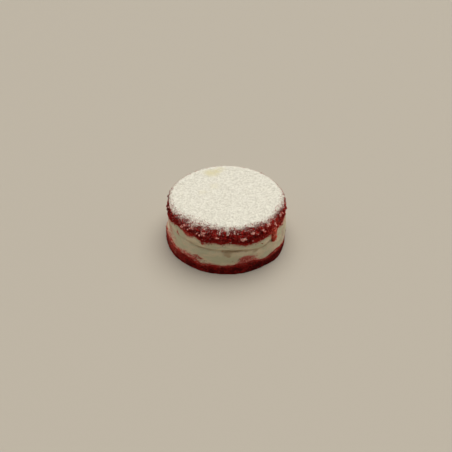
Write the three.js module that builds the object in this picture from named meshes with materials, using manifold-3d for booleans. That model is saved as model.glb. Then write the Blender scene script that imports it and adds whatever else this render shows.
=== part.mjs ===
// A small round red velvet cake: a red sponge base, a thick band of cream, a red sponge crust whose
// side is coated in crumbs, and a dusting of icing sugar. Millimetres, +Z up. The origin is the
// middle of the face that the cake stands on, and its front faces -Y.
import * as THREE from "three";
import { ImprovedNoise } from "three/addons/math/ImprovedNoise.js";
import { mergeVertices } from "three/addons/utils/BufferGeometryUtils.js";
import Module from "manifold-3d";

const wasm = await Module();
wasm.setup();

// Driving dimensions
const BASE_RADIUS = 51.9;
const BASE_THICKNESS = 7.5;
const CREAM_RADIUS = 49.6;
const CREAM_THICKNESS = 20.6;
const CRUST_RADIUS = 48.8;
const CRUST_THICKNESS = 9.2;
const SUGAR_RADIUS = 48.4;
const SUGAR_THICKNESS = 1;

// Heights where one layer lies on the next
const CREAM_FLOOR = BASE_THICKNESS;
const CRUST_FLOOR = CREAM_FLOOR + CREAM_THICKNESS;
const SUGAR_FLOOR = CRUST_FLOOR + CRUST_THICKNESS;

// The layers lie flat on each other out to SEAM_FLAT. Beyond SEAM_OPEN they are SEAM_GAP apart,
// and from there to SEAM_FREE the seam comes to rise and fall as it does at the side. Both faces
// of a seam have points on the same rings, so that they never cross.
const SEAM_FLAT = 37;
const SEAM_OPEN = 40;
const SEAM_FREE = 46.5;
const SEAM_GAP = 0.3;
const SEAM_RINGS = [0, SEAM_FLAT, SEAM_OPEN, (SEAM_OPEN + SEAM_FREE) / 2, SEAM_FREE];

// The crust's top is flat out to RIM_OPEN and slopes down from there to its side by RIM_DROP. The
// sugar touches it out to RIM_FLAT and thins to SUGAR_EDGE of its thickness. The rim is worn at the
// front, where it drops further and the sugar's ragged edge lies SUGAR_INSET further in. Crust and
// sugar have points on the same rings. sound is the value where the rim isn't worn.
const RIM_FLAT = 40;
const RIM_OPEN = 43.5;
const RIM_DROP = { sound: 0.4, worn: 1.6 };
const RIM_WEAR = [{ at: -5, rise: 1, width: 58 }];
const RIM_RINGS = [0, RIM_FLAT, RIM_OPEN];
const SUGAR_RINGS = [0, 24, RIM_FLAT, RIM_OPEN];
const SUGAR_EDGE = { sound: 0.8, worn: 0.45 };
const SUGAR_INSET = 3.7;

// How far the edges of each layer are rounded off, and over what share of its side. A negative one
// is squeezed outwards instead.
const BASE_ROUNDING = { foot: -0.6, head: 0.4, share: 0.5 };
const CREAM_ROUNDING = { foot: -1.2, head: 0.5, share: 0.2 };
const CRUST_ROUNDING = { foot: -0.5, head: { sound: 1.2, worn: 2.1 }, share: 0.5 };

// How the seams and the rim wander at the side. at is in degrees from the front, positive to the
// right, and rise is the height in mm at the middle of a hump about twice width degrees wide. The
// humps of the base's side rise outwards.
const CREAM_FLOOR_HUMPS = [
  { at: -70, rise: 4, width: 18 },
  { at: -38, rise: 2.5, width: 12 },
  { at: -22, rise: -1.5, width: 5 },
  { at: -14, rise: 0.6, width: 4 },
  { at: 12, rise: 1.8, width: 5 },
  { at: 24, rise: 2.1, width: 6.5 },
  { at: 38, rise: -1.5, width: 6 },
  { at: 52, rise: 0.4, width: 7 },
  { at: 76, rise: -3.9, width: 14 },
  { at: 112, rise: 1.2, width: 16 },
  { at: 165, rise: -0.8, width: 14 },
  { at: 225, rise: 1.1, width: 18 },
];
const CRUST_FLOOR_HUMPS = [
  { at: -51, rise: 4.2, width: 11 },
  { at: -42, rise: 1.2, width: 6 },
  { at: -29, rise: 3.2, width: 5.5 },
  { at: -21, rise: -0.7, width: 5 },
  { at: -11, rise: 1.7, width: 6 },
  { at: 2, rise: 1.9, width: 5 },
  { at: 20, rise: -2.2, width: 6 },
  { at: 31, rise: -1.9, width: 6 },
  { at: 42, rise: -0.7, width: 6 },
  { at: 65, rise: -2.1, width: 7 },
  { at: 108, rise: 1.6, width: 9 },
  { at: 141, rise: -2.0, width: 8 },
  { at: 178, rise: 1.9, width: 12 },
  { at: 214, rise: -1.7, width: 9 },
  { at: 246, rise: 2.2, width: 10 },
];
const BASE_SIDE_HUMPS = [
  { at: 52, rise: 0.9, width: 15 },
  { at: 88, rise: -1.2, width: 22 },
];
const RIM_HUMPS = [
  { at: 180, rise: 0.3, width: 14 },
  { at: 228, rise: -0.5, width: 16 },
  { at: 129, rise: -0.3, width: 14 },
];

// Swellings of the cream's side: rise is outwards, z and height place them upwards
const CREAM_SWELLINGS = [
  { at: 84, rise: 1.6, width: 26, z: 13, height: 9 },
  { at: -12, rise: 0.8, width: 30, z: 14, height: 6 },
  { at: -80, rise: -0.5, width: 20, z: 19, height: 9 },
  { at: 160, rise: 1.1, width: 24, z: 17, height: 7 },
  { at: 236, rise: 0.9, width: 20, z: 13, height: 6 },
];

// The fold that runs round the cream where one spoonful was spread on another. It is shallowest, at
// fade of its depth, on the left and on the right.
const FOLD = { height: 21.9, depth: 0.9, fade: 0.2, halfWidth: 1.2 };
const FOLD_HUMPS = [
  { at: -38, rise: 1.8, width: 12 },
  { at: -5, rise: 1, width: 7 },
  { at: 34, rise: -3.2, width: 14 },
  { at: 120, rise: 1.6, width: 25 },
  { at: 205, rise: -1.4, width: 22 },
];

// Relief of the surfaces: how far it reaches and how long its waves are
const BASE_RELIEF = { reach: 0.45, grain: 2.3, swell: 17 };
const CRUST_RELIEF = { reach: 0.75, grain: 2.7, swell: 17 };
const CREAM_RELIEF = { reach: 0.55, length: 15, height: 4 };
const SUGAR_RELIEF = { reach: 0.22, length: 6 };
const SUGAR_RAGGEDNESS = { reach: 0.9, waves: 5 };

// Crumbs pressed into the crust's side: how far their corners lie from their middles, how far the
// middles stand out of the side, and how far they keep from the seam and the rim, in crumb sizes
const CRUMB_COUNT = 96;
const CRUMB_SIZE = { smallest: 1.1, largest: 2.1, skew: 1.6 };
const CRUMB_STAND = { least: -0.3, most: 0.3 };
const CRUMB_KEEPS = { fromSeam: 1.2, fromRim: 1.1 };
const CRUMB_STRETCH = { least: 0.7, most: 1.2 };
const CRUMB_SEED = 11;

// The tongue of crumbs that hangs over the cream: its place, its lowest crumb and how far apart
// they lie. tremble is in degrees.
const TONGUE = { at: 48.5, foot: 19.3, step: 1.1, crumb: 1.7, stand: 0.2, tremble: 0.8, seed: 5 };

const SIDE_SEGMENTS = 96;
const MERGE_DISTANCE = 1e-4;

const perlin = new ImprovedNoise();
const { clamp, degToRad, lerp, radToDeg, smoothstep } = THREE.MathUtils;

// Shortest way round from one angle to another, in degrees
function degreesBetween(a, b) {
  return ((((a - b) % 360) + 540) % 360) - 180;
}

function bell(distance, width) {
  return Math.exp(-((distance / width) ** 2));
}

function humps(list, degrees) {
  return list.reduce((sum, h) => sum + h.rise * bell(degreesBetween(degrees, h.at), h.width), 0);
}

// A point at the given angle from the front, positive to the right
function pointAt(radius, degrees, z) {
  const angle = degToRad(degrees);
  return new THREE.Vector3(radius * Math.sin(angle), -radius * Math.cos(angle), z);
}

function noiseAt({ x, y, z }, length, height = length) {
  return perlin.noise(x / length, y / length, z / height);
}

// 0 where the layers lie flat on each other, 1 where the seam between them is free to wander
function seamFreedom(radius) {
  return smoothstep(radius, SEAM_OPEN, SEAM_FREE);
}

function seamGap(radius) {
  return SEAM_GAP * smoothstep(radius, SEAM_FLAT, SEAM_OPEN);
}

function creamFloor(radius, degrees) {
  return CREAM_FLOOR + humps(CREAM_FLOOR_HUMPS, degrees) * seamFreedom(radius);
}

function crustFloor(radius, degrees) {
  return CRUST_FLOOR + humps(CRUST_FLOOR_HUMPS, degrees) * seamFreedom(radius);
}

// A value that changes from sound to worn where the rim is worn
function byWear({ sound, worn }, degrees) {
  return lerp(sound, worn, humps(RIM_WEAR, degrees));
}

function crustTop(radius, degrees) {
  const share = Math.max(0, (radius - RIM_OPEN) / (CRUST_RADIUS - RIM_OPEN));
  return SUGAR_FLOOR + (humps(RIM_HUMPS, degrees) - byWear(RIM_DROP, degrees)) * share;
}

// How far the rounded edges pull in, at a share t of a side between 0, its foot, and 1, its head
function edgePull(t, { foot, head, share }) {
  const nearFoot = clamp(1 - t / share, 0, 1);
  const nearHead = clamp(1 - (1 - t) / share, 0, 1);
  return foot * nearFoot ** 2 + head * nearHead ** 2;
}

function spongeRelief(point, { reach, grain, swell }) {
  return reach * (noiseAt(point, grain) + noiseAt(point, swell));
}

// A disc one unit high is turned, and each of its points is then moved: those of its foot down to
// floor(radius, degrees), those of its head up to roof, and those of its rim out to
// reach(degrees, t), where t is their share of the height. footRings and headRings are the radii
// of the points inside the rim.
function layer({ footRings, headRings, sideRows, reach, floor, roof }) {
  const outermostRing = Math.max(...footRings, ...headRings);
  const turnedRim = 2 * outermostRing;
  const outline = [
    ...footRings.map((radius) => new THREE.Vector2(radius, 0)),
    ...Array.from({ length: sideRows + 1 }, (_, i) => new THREE.Vector2(turnedRim, i / sideRows)),
    ...headRings.toReversed().map((radius) => new THREE.Vector2(radius, 1)),
  ];
  const geometry = new THREE.LatheGeometry(outline, SIDE_SEGMENTS);
  const position = geometry.getAttribute("position");
  for (let i = 0; i < position.count; i++) {
    const degrees = radToDeg(Math.atan2(position.getX(i), position.getZ(i)));
    const turned = Math.hypot(position.getX(i), position.getZ(i));
    const t = position.getY(i);
    const radius = turned > 1.5 * outermostRing ? reach(degrees, t) : turned;
    const z = lerp(floor(radius, degrees), roof(radius, degrees), t);
    position.setXYZ(i, ...pointAt(radius, degrees, z));
  }
  return closed(geometry);
}

// The same surface with its shared points merged, which is what a closed solid needs
function closed(geometry) {
  geometry.deleteAttribute("normal");
  geometry.deleteAttribute("uv");
  return mergeVertices(geometry, MERGE_DISTANCE);
}

function baseSponge() {
  return layer({
    footRings: [0, SEAM_FLAT],
    headRings: SEAM_RINGS,
    sideRows: 4,
    reach: (degrees, t) => {
      const point = pointAt(BASE_RADIUS, degrees, t * BASE_THICKNESS);
      const reach = BASE_RADIUS - edgePull(t, BASE_ROUNDING) + humps(BASE_SIDE_HUMPS, degrees);
      return reach + spongeRelief(point, BASE_RELIEF);
    },
    floor: () => 0,
    roof: (radius, degrees) => creamFloor(radius, degrees) - seamGap(radius),
  });
}

// How far the fold cuts into the cream's side at a point
function foldDepth(degrees, z) {
  const height = FOLD.height + humps(FOLD_HUMPS, degrees);
  const strength = lerp(FOLD.fade, 1, Math.cos(degToRad(degrees)) ** 2);
  return FOLD.depth * strength * bell(z - height, FOLD.halfWidth);
}

// Cream pushed out of the sandwich: swellings, the fold, and long level smears of the knife
function creamSide(degrees, t) {
  const floor = creamFloor(CREAM_RADIUS, degrees);
  const z = lerp(floor, crustFloor(CREAM_RADIUS, degrees), t);
  const swelling = CREAM_SWELLINGS.reduce((sum, s) => {
    return sum + s.rise * bell(degreesBetween(degrees, s.at), s.width) * bell(z - s.z, s.height);
  }, 0);
  const { reach, length, height } = CREAM_RELIEF;
  const smear = reach * noiseAt(pointAt(CREAM_RADIUS, degrees, z), length, height);
  return CREAM_RADIUS - edgePull(t, CREAM_ROUNDING) + swelling - foldDepth(degrees, z) + smear;
}

function creamFilling() {
  return layer({
    footRings: SEAM_RINGS,
    headRings: SEAM_RINGS,
    sideRows: 9,
    reach: creamSide,
    floor: creamFloor,
    roof: (radius, degrees) => crustFloor(radius, degrees) - seamGap(radius),
  });
}

function crustBody() {
  return layer({
    footRings: SEAM_RINGS,
    headRings: RIM_RINGS,
    sideRows: 5,
    reach: (degrees, t) => {
      const point = pointAt(CRUST_RADIUS, degrees, lerp(CRUST_FLOOR, SUGAR_FLOOR, t));
      const rounding = { ...CRUST_ROUNDING, head: byWear(CRUST_ROUNDING.head, degrees) };
      return CRUST_RADIUS - edgePull(t, rounding) + spongeRelief(point, CRUST_RELIEF);
    },
    floor: crustFloor,
    roof: crustTop,
  });
}

function sugarDusting() {
  const floor = (radius, degrees) => {
    return crustTop(radius, degrees) + SEAM_GAP * smoothstep(radius, RIM_FLAT, RIM_OPEN);
  };
  const edgeAt = (degrees) => SUGAR_RADIUS - SUGAR_INSET * humps(RIM_WEAR, degrees);
  const thickness = (radius, degrees) => {
    const thinned = smoothstep(radius, RIM_FLAT, edgeAt(degrees));
    return SUGAR_THICKNESS * lerp(1, byWear(SUGAR_EDGE, degrees), thinned);
  };
  return layer({
    footRings: RIM_RINGS,
    headRings: SUGAR_RINGS,
    sideRows: 1,
    reach: (degrees) => {
      const { reach, waves } = SUGAR_RAGGEDNESS;
      return edgeAt(degrees) + reach * noiseAt(pointAt(1, degrees, 0.5), 1 / waves, 1);
    },
    floor,
    roof: (radius, degrees) => {
      const relief = noiseAt(pointAt(radius, degrees, SUGAR_FLOOR), SUGAR_RELIEF.length);
      return floor(radius, degrees) + thickness(radius, degrees) + SUGAR_RELIEF.reach * relief;
    },
  });
}

// A seeded generator of numbers from 0 to 1
function randomFrom(seed) {
  let state = seed;
  return () => {
    state = (state + 0x6d2b79f5) | 0;
    let t = Math.imul(state ^ (state >>> 15), 1 | state);
    t = (t + Math.imul(t ^ (t >>> 7), 61 | t)) ^ t;
    return ((t ^ (t >>> 14)) >>> 0) / 2 ** 32;
  };
}

// One chunky crumb with its middle at the given point, and its corners about size away from it
function crumb(random, size, middle) {
  const side = 2 / Math.sqrt(3);
  const geometry = closed(new THREE.BoxGeometry(side, side, side));
  const position = geometry.getAttribute("position");
  const corner = new THREE.Vector3();
  for (let i = 0; i < position.count; i++) {
    const stretch = lerp(CRUMB_STRETCH.least, CRUMB_STRETCH.most, random());
    corner.fromBufferAttribute(position, i).multiplyScalar(stretch);
    position.setXYZ(i, ...corner);
  }
  const turn = new THREE.Euler(random() * Math.PI, random() * Math.PI, random() * Math.PI);
  const place = new THREE.Matrix4().compose(
    middle,
    new THREE.Quaternion().setFromEuler(turn),
    new THREE.Vector3(size, size, size),
  );
  return geometry.applyMatrix4(place);
}

// Crumbs all round the crust's side, clear of the cream below and the sugar above
function crustCrumbs(random) {
  const { fromSeam, fromRim } = CRUMB_KEEPS;
  return Array.from({ length: CRUMB_COUNT }, (_, i) => {
    const drawn = lerp(CRUMB_SIZE.smallest, CRUMB_SIZE.largest, random() ** CRUMB_SIZE.skew);
    const degrees = ((i + random()) * 360) / CRUMB_COUNT;
    const beside = radToDeg(drawn / CRUST_RADIUS);
    const turns = [-beside, 0, beside];
    const seam = Math.max(...turns.map((turn) => crustFloor(CRUST_RADIUS, degrees + turn)));
    const rim = crustTop(CRUST_RADIUS, degrees);
    const size = Math.min(drawn, (rim - seam) / (fromSeam + fromRim));
    const z = lerp(seam + fromSeam * size, rim - fromRim * size, random());
    const radius = CRUST_RADIUS + lerp(CRUMB_STAND.least, CRUMB_STAND.most, random());
    return crumb(random, size, pointAt(radius, degrees, z));
  });
}

// The tongue: crumbs one below the other, from the crust's side down over the cream
function tongueCrumbs(random, growth) {
  const head = crustFloor(CRUST_RADIUS, TONGUE.at) + TONGUE.crumb;
  const count = Math.ceil((head - TONGUE.foot) / TONGUE.step) + 1;
  return Array.from({ length: count }, (_, i) => {
    const z = lerp(head, TONGUE.foot, i / (count - 1));
    const degrees = TONGUE.at + lerp(-TONGUE.tremble, TONGUE.tremble, random());
    return crumb(random, TONGUE.crumb + growth, pointAt(CREAM_RADIUS + TONGUE.stand, degrees, z));
  });
}

function solidFrom(geometry) {
  return new wasm.Manifold(
    new wasm.Mesh({
      numProp: 3,
      vertProperties: geometry.getAttribute("position").array,
      triVerts: new Uint32Array(geometry.index.array),
    }),
  );
}

function geometryFrom(solid) {
  const mesh = solid.getMesh();
  return new THREE.BufferGeometry()
    .setAttribute("position", new THREE.BufferAttribute(new Float32Array(mesh.vertProperties), 3))
    .setIndex(new THREE.BufferAttribute(mesh.triVerts, 1));
}

// One solid of all the given ones. A loose scrap, left where a crumb only just missed, is dropped.
function fused(geometries) {
  const bodies = wasm.Manifold.union(geometries.map(solidFrom)).decompose();
  return bodies.reduce((largest, body) => (body.volume() > largest.volume() ? body : largest));
}

const crust = fused([
  crustBody(),
  ...crustCrumbs(randomFrom(CRUMB_SEED)),
  ...tongueCrumbs(randomFrom(TONGUE.seed), 0),
]);
const tongueBed = fused(tongueCrumbs(randomFrom(TONGUE.seed), 2 * SEAM_GAP));
const cream = solidFrom(creamFilling()).subtract(tongueBed);

const redSponge = new THREE.MeshStandardMaterial({ color: 0x6d0d10, roughness: 0.85, metalness: 0 });
const redCrumbs = new THREE.MeshStandardMaterial({ color: 0x8a1216, roughness: 0.8, metalness: 0 });
const paleCream = new THREE.MeshStandardMaterial({ color: 0xe6dfca, roughness: 0.5, metalness: 0 });
const whiteSugar = new THREE.MeshStandardMaterial({ color: 0xf2efe6, roughness: 0.95, metalness: 0 });

function piece(name, geometry, material) {
  const mesh = new THREE.Mesh(geometry, material);
  mesh.name = name;
  return mesh;
}

const cake = new THREE.Group();
cake.add(
  piece("sponge_base", baseSponge(), redSponge),
  piece("cream_filling", geometryFrom(cream), paleCream),
  piece("sponge_crust", geometryFrom(crust), redCrumbs),
  piece("sugar_dusting", sugarDusting(), whiteSugar),
);

export default cake;
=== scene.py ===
# %% [markdown]
# # A small red velvet cake
#
# The cake is a stack of four layers: a dark red sponge, a thick band of cream, a second sponge
# whose side is coated in crumbs, and a dusting of icing sugar. It measures about 10 cm across.
# The layers are already there as plain closed solids, which is the frame. This script keeps their
# places and sizes, and gives each of them the skin of the real food.
#
# Blender works in metres here, and a cake is easier to think of in millimetres, so a small helper
# value turns one into the other.

# %% Load the frame
import math
import random

import bpy
import numpy as np
from mathutils import Euler, Matrix, Vector, noise
from mathutils.bvhtree import BVHTree


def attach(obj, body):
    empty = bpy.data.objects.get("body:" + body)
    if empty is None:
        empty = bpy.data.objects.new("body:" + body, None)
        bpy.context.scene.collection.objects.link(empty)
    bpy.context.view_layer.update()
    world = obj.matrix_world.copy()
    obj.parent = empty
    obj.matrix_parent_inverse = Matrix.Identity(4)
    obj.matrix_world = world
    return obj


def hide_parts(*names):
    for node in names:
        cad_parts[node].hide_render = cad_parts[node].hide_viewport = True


MM = 0.001

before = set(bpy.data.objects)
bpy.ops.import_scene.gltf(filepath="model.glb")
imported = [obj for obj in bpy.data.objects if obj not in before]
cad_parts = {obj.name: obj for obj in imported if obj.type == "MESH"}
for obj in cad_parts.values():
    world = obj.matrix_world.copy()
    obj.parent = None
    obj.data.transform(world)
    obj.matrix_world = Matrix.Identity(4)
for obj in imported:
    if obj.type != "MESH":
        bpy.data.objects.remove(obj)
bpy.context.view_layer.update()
print("layers:", sorted(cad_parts))

# %% [markdown]
# ## Camera
#
# The photograph looks down on the cake from the front. A camera can be placed by eye, or worked
# out from round things in the picture, because a circle turns into an ellipse whose flatness gives
# the tilt. These values come from the second way. The pitch is how far the camera looks down, and
# the roll is how far the picture leans.

# %% Camera
CAMERA_PLACE = Vector((-0.0002, -0.3028, 0.2568))
CAMERA_PITCH = math.radians(39.58)
CAMERA_ROLL = math.radians(0.36)
CAMERA_LENS = 35.84
SENSOR_WIDTH = 36
NEAREST_SEEN = 0.01

bpy.ops.object.camera_add(location=CAMERA_PLACE)
camera = bpy.context.object
camera.name = "camera"
camera.data.lens = CAMERA_LENS
camera.data.sensor_width = SENSOR_WIDTH
camera.data.clip_start = NEAREST_SEEN
tilt = Matrix.Rotation(math.pi / 2 - CAMERA_PITCH, 4, "X")
camera.rotation_euler = (tilt @ Matrix.Rotation(CAMERA_ROLL, 4, "Z")).to_euler()
bpy.context.scene.camera = camera
print("camera", round(CAMERA_PLACE.length, 3), "m from the middle of the cake's foot")

# %% [markdown]
# ## Shader maths
#
# A material is a small sum: this colour here, that one there, and a mask that says where. Written
# as nodes it is hard to read, so the class below wraps a node's output and lets Python's own signs
# add the Math nodes. Coordinates are turned into millimetres, so a scale is one over a size. Most
# masks below are made in one way: a painted number and a noise are added up, each with a weight,
# and the sum is cut between two levels. The weights and levels were tried out in renders.

# %% The shader helper


class Field:
    """An output of a material's nodes. Arithmetic on it adds Math nodes."""

    def __init__(self, tree, socket=None):
        self.tree = tree
        self.socket = socket

    def node(self, kind, settings=None, inputs=None, output=0):
        """Adds any node: its settings first, then the values or links of its sockets."""
        made = self.tree.nodes.new("ShaderNode" + kind)
        for name, value in (settings or {}).items():
            setattr(made, name, value)
        for name, value in (inputs or {}).items():
            if isinstance(value, Field):
                self.tree.links.new(value.socket, made.inputs[name])
            else:
                made.inputs[name].default_value = value
        return Field(self.tree, made.outputs[output])

    def maths(self, operation, a, b=0.0):
        return self.node("Math", {"operation": operation}, {0: a, 1: b})

    def __add__(self, other):
        return self.maths("ADD", self, other)

    __radd__ = __add__

    def __sub__(self, other):
        return self.maths("SUBTRACT", self, other)

    def __rsub__(self, other):
        return self.maths("SUBTRACT", other, self)

    def __mul__(self, other):
        return self.maths("MULTIPLY", self, other)

    __rmul__ = __mul__

    def between(self, low, high):
        """0 below low, 1 above high, and a soft slope between."""
        settings = {"interpolation_type": "SMOOTHSTEP"}
        return self.node("MapRange", settings, {"Value": self, "From Min": low, "From Max": high})

    def stretched(self, x, y, z):
        """Coordinates divided by a stretch along each axis, so that a pattern on them is longer."""
        return self.node("VectorMath", {"operation": "MULTIPLY"}, {0: self, 1: (1 / x, 1 / y, 1 / z)})

    def noise(self, size, detail=3.0, roughness=0.55):
        """Noise from 0 to 1 at coordinates in mm, with features about size mm across."""
        inputs = {"Vector": self, "Scale": 1 / size, "Detail": detail, "Roughness": roughness}
        return self.node("TexNoise", None, inputs)

    def cells(self, size):
        """Distance to the nearest of many scattered points about size mm apart, in that unit."""
        return self.node("TexVoronoi", None, {"Vector": self, "Scale": 1 / size})

    def distance(self, place):
        return self.node("VectorMath", {"operation": "DISTANCE"}, {0: self, 1: place}, "Value")

    def height(self):
        """The z of a coordinate or of a normal."""
        return self.node("SeparateXYZ", None, {"Vector": self}, "Z")

    def mix(self, a, b):
        """Colour a where this is 0, colour b where it is 1: sockets 6 and 7 of a Mix node."""
        return self.node("Mix", {"data_type": "RGBA"}, {0: self, 6: a, 7: b}, 2)


class Finish:
    """A new material: its shader, and its coordinates in millimetres."""

    def __init__(self, name, specular, **constants):
        self.material = bpy.data.materials.new(name)
        self.material.use_nodes = True
        self.tree = self.material.node_tree
        self.shader = self.tree.nodes["Principled BSDF"]
        self.shader.inputs["Specular IOR Level"].default_value = specular
        for socket, value in constants.items():
            self.shader.inputs[socket.replace("_", " ")].default_value = value
        place = Field(self.tree).node("TexCoord", None, None, "Object")
        self.mm = place.stretched(MM, MM, MM)

    def attribute(self, name):
        """A number that was painted on the vertices."""
        return self.mm.node("Attribute", {"attribute_name": name}, None, "Fac")

    def upward(self):
        """How far the surface faces up: 1 flat on top, 0 on a wall, less than 0 below."""
        return self.mm.node("NewGeometry", None, None, "Normal").height()

    def set(self, socket, value):
        self.tree.links.new(value.socket, self.shader.inputs[socket])

    def bump(self, field, depth):
        """Bump of the given depth in mm from a field that runs from 0 to 1."""
        inputs = {"Height": field, "Distance": depth * MM, "Strength": 1.0}
        self.set("Normal", self.mm.node("Bump", None, inputs))


print("shader helper ready")

# %% [markdown]
# ## Floor and light
#
# The cake is lit from above and slightly behind, so its white top is bright and its side lies in
# soft shade. Lamps near the cake would leave the floor dark further away. A sun that is very wide
# across shines evenly and still gives soft shadows, like a large panel on the ceiling of a studio.
# Two weak ones from the sides stand for the pale walls of the room. The sky only adds a pale band
# at the horizon, so that a low view has a pale background too.

# %% Floor and light
FLOOR_SIZE = 40
FLOOR_COLOUR = (0.50, 0.46, 0.40, 1)
LIGHT_COLOUR = (1.0, 0.97, 0.90)
# A lamp has a name, the direction that it shines from, its width in degrees and its strength.
LAMPS = [
    ("ceiling_light", (0.08, 0.32, 1.0), 64, 2.8),
    ("left_fill", (-1.0, 0.0, 0.8), 60, 0.32),
    ("right_fill", (1.0, 0.0, 0.8), 60, 0.24),
]
HORIZON = (0.48, 0.45, 0.39, 1)
ZENITH = (0.05, 0.047, 0.043, 1)
PALE_BAND = 0.34

bpy.ops.mesh.primitive_plane_add(size=FLOOR_SIZE)
floor = bpy.context.object
floor.name = "floor"
floor_finish = Finish("floor", specular=0.3, Roughness=0.8, Base_Color=FLOOR_COLOUR)
floor.data.materials.append(floor_finish.material)

for name, comes_from, width, strength in LAMPS:
    bpy.ops.object.light_add(type="SUN")
    sun = bpy.context.object
    sun.name = name
    sun.rotation_euler = Vector(comes_from).to_track_quat("Z", "Y").to_euler()
    sun.data.angle = math.radians(width)
    sun.data.energy = strength
    sun.data.color = LIGHT_COLOUR

world = bpy.context.scene.world or bpy.data.worlds.new("sky")
bpy.context.scene.world = world
world.use_nodes = True
# For a sky, this coordinate is the direction that one looks in.
direction = Field(world.node_tree).node("TexCoord", None, None, "Generated")
sky = direction.height().between(0.0, PALE_BAND).mix(HORIZON, ZENITH)
world.node_tree.links.new(sky.socket, world.node_tree.nodes["Background"].inputs["Color"])
bpy.context.scene.view_settings.view_transform = "Standard"

# %% [markdown]
# ## Working like a modeller
#
# Operators act on whatever is selected, so each step first selects one piece alone. A modifier is
# set up and applied in one go, as a modeller would from the menu. A vertex group says where a
# modifier acts, as weight painting does, and an attribute tells a material what lies where.

# %% Helpers for modelling
WEIGHT_STEPS = 50


def only(piece):
    """Selects one piece alone and makes it the active one."""
    bpy.ops.object.select_all(action="DESELECT")
    piece.select_set(True)
    bpy.context.view_layer.objects.active = piece


def apply_modifier(piece, kind, **settings):
    """Adds a modifier with the given settings and applies it."""
    modifier = piece.modifiers.new(kind.title(), kind)
    for name, value in settings.items():
        setattr(modifier, name, value)
    only(piece)
    bpy.ops.object.modifier_apply(modifier=modifier.name)


def of_vertices(piece, what):
    """One row of three numbers for each vertex of a mesh: its place in metres, or its normal."""
    flat = np.zeros(len(piece.data.vertices) * 3)
    piece.data.vertices.foreach_get(what, flat)
    return flat.reshape(-1, 3)


def facing_up(piece):
    """How far the skin faces up at each vertex, from 1 on top to -1 below."""
    return of_vertices(piece, "normal")[:, 2]


def paint_group(piece, name, weights):
    """Stores a weight from 0 to 1 for each vertex in a vertex group."""
    group = piece.vertex_groups.new(name=name)
    steps = np.round(np.clip(weights, 0, 1) * WEIGHT_STEPS).astype(int)
    for step in np.unique(steps[steps > 0]):
        members = np.flatnonzero(steps == step)
        group.add(members.tolist(), step / WEIGHT_STEPS, "REPLACE")


def paint_attribute(piece, name, values):
    """Stores a number for each vertex, which a material can read."""
    layer = piece.data.attributes.new(name, "FLOAT", "POINT")
    layer.data.foreach_set("value", np.asarray(values, np.float32))


print("helpers for modelling ready")

# %% [markdown]
# ## Places round the cake
#
# A place on a round thing is easiest to give by its distance from the middle, its height and its
# angle, here in degrees from the front. Hardly any mark on food has a sharp edge, so marks are
# made of two soft curves: a step that slopes from 0 to 1, and a bell that fades to both sides.

# %% Helpers for places


def round_the_cake(points):
    """Radius and height in mm, and degrees from the front, positive to the right, of each point."""
    x, y, z = points.T / MM
    return np.hypot(x, y), np.degrees(np.arctan2(x, -y)), z


def places_of(piece):
    """The radius, degrees and height of each vertex of a mesh."""
    return round_the_cake(of_vertices(piece, "co"))


def outward(degrees):
    """The level direction away from the cake's middle at an angle from the front."""
    return Vector((math.sin(math.radians(degrees)), -math.cos(math.radians(degrees)), 0))


def smooth_step(value, low, high):
    """0 below low, 1 above high, a soft slope between. With the two swapped it falls."""
    t = np.clip((value - low) / (high - low), 0, 1)
    return t * t * (3 - 2 * t)


def bell(distance, width):
    """1 at no distance, fading to both sides over a width."""
    return np.exp(-((distance / width) ** 2))


def degrees_between(a, b):
    """The shortest way round from b to a."""
    return (a - b + 180) % 360 - 180


def near(degrees, at, width):
    """1 at an angle, fading to both sides over a width, all in degrees."""
    return bell(degrees_between(degrees, at), width)


def humps(listed, degrees):
    """The sum of humps round the cake, each of them a place, a rise and a width in degrees."""
    return sum(rise * near(degrees, at, width) for at, rise, width in listed)


def spot(degrees, z, at, height, width, reach):
    """A soft patch on the side: its middle, and its half sizes in degrees and in mm."""
    return near(degrees, at, width) * bell(z - height, reach)


print("a bell one width away:", round(float(bell(1, 1)), 2))

# %% [markdown]
# ## The seams
#
# Cream never lies level under a sponge: the seams rise and fall round the cake, and the sugar's
# edge wanders too. The frame's solids already have that, so it is measured there, and everything
# below follows it.

# %% Measure the seams and the sugar's edge
SEAM_RING = 46.5
RING_WIDTH = 0.02
SUGAR_RIM = 44


def measured(node, wanted, value):
    """The largest value among a node's wanted points at each angle, as a function of degrees."""
    radius, degrees, z = places_of(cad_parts[node])
    chosen = wanted(radius, z)
    bins = np.round(degrees[chosen], 1)
    angles = np.unique(bins)
    largest = np.array([value(radius, z)[chosen][bins == a].max() for a in angles])
    return lambda at: np.interp(at, angles, largest, period=360)


def seam_height(node, below):
    """The height in mm of a node's seam, where it runs free below a given height."""

    def on_seam(radius, z):
        return (np.abs(radius - SEAM_RING) < RING_WIDTH) & (z < below)

    return measured(node, on_seam, lambda radius, z: z)


base_top = seam_height("sponge_base", below=20)
crust_foot = seam_height("sponge_crust", below=34)
sugar_edge = measured("sugar_dusting", lambda radius, z: radius > SUGAR_RIM, lambda radius, z: radius)
for at in (-54, 0, 60):
    seams = f"cream from {base_top(at):.1f} to {crust_foot(at):.1f} mm"
    print(f"at {at} degrees: {seams}, sugar out to {sugar_edge(at):.1f} mm")

# %% [markdown]
# ## A fine skin for a layer
#
# Each layer starts as a copy of its solid. The copy's triangles are merged into one skin, and a
# voxel remesh turns it into small even faces that relief can be pressed into. Subdividing would do
# it too, but it keeps the long thin triangles of the solid. What lies inside the stack never
# shows, so it is decimated again at the end, which leaves the faces for the parts that do.

# %% Helpers for a fine skin
MERGE_DISTANCE = 0.00001
VOXEL = 0.36 * MM
HIDDEN_SHARE = 0.06


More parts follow.
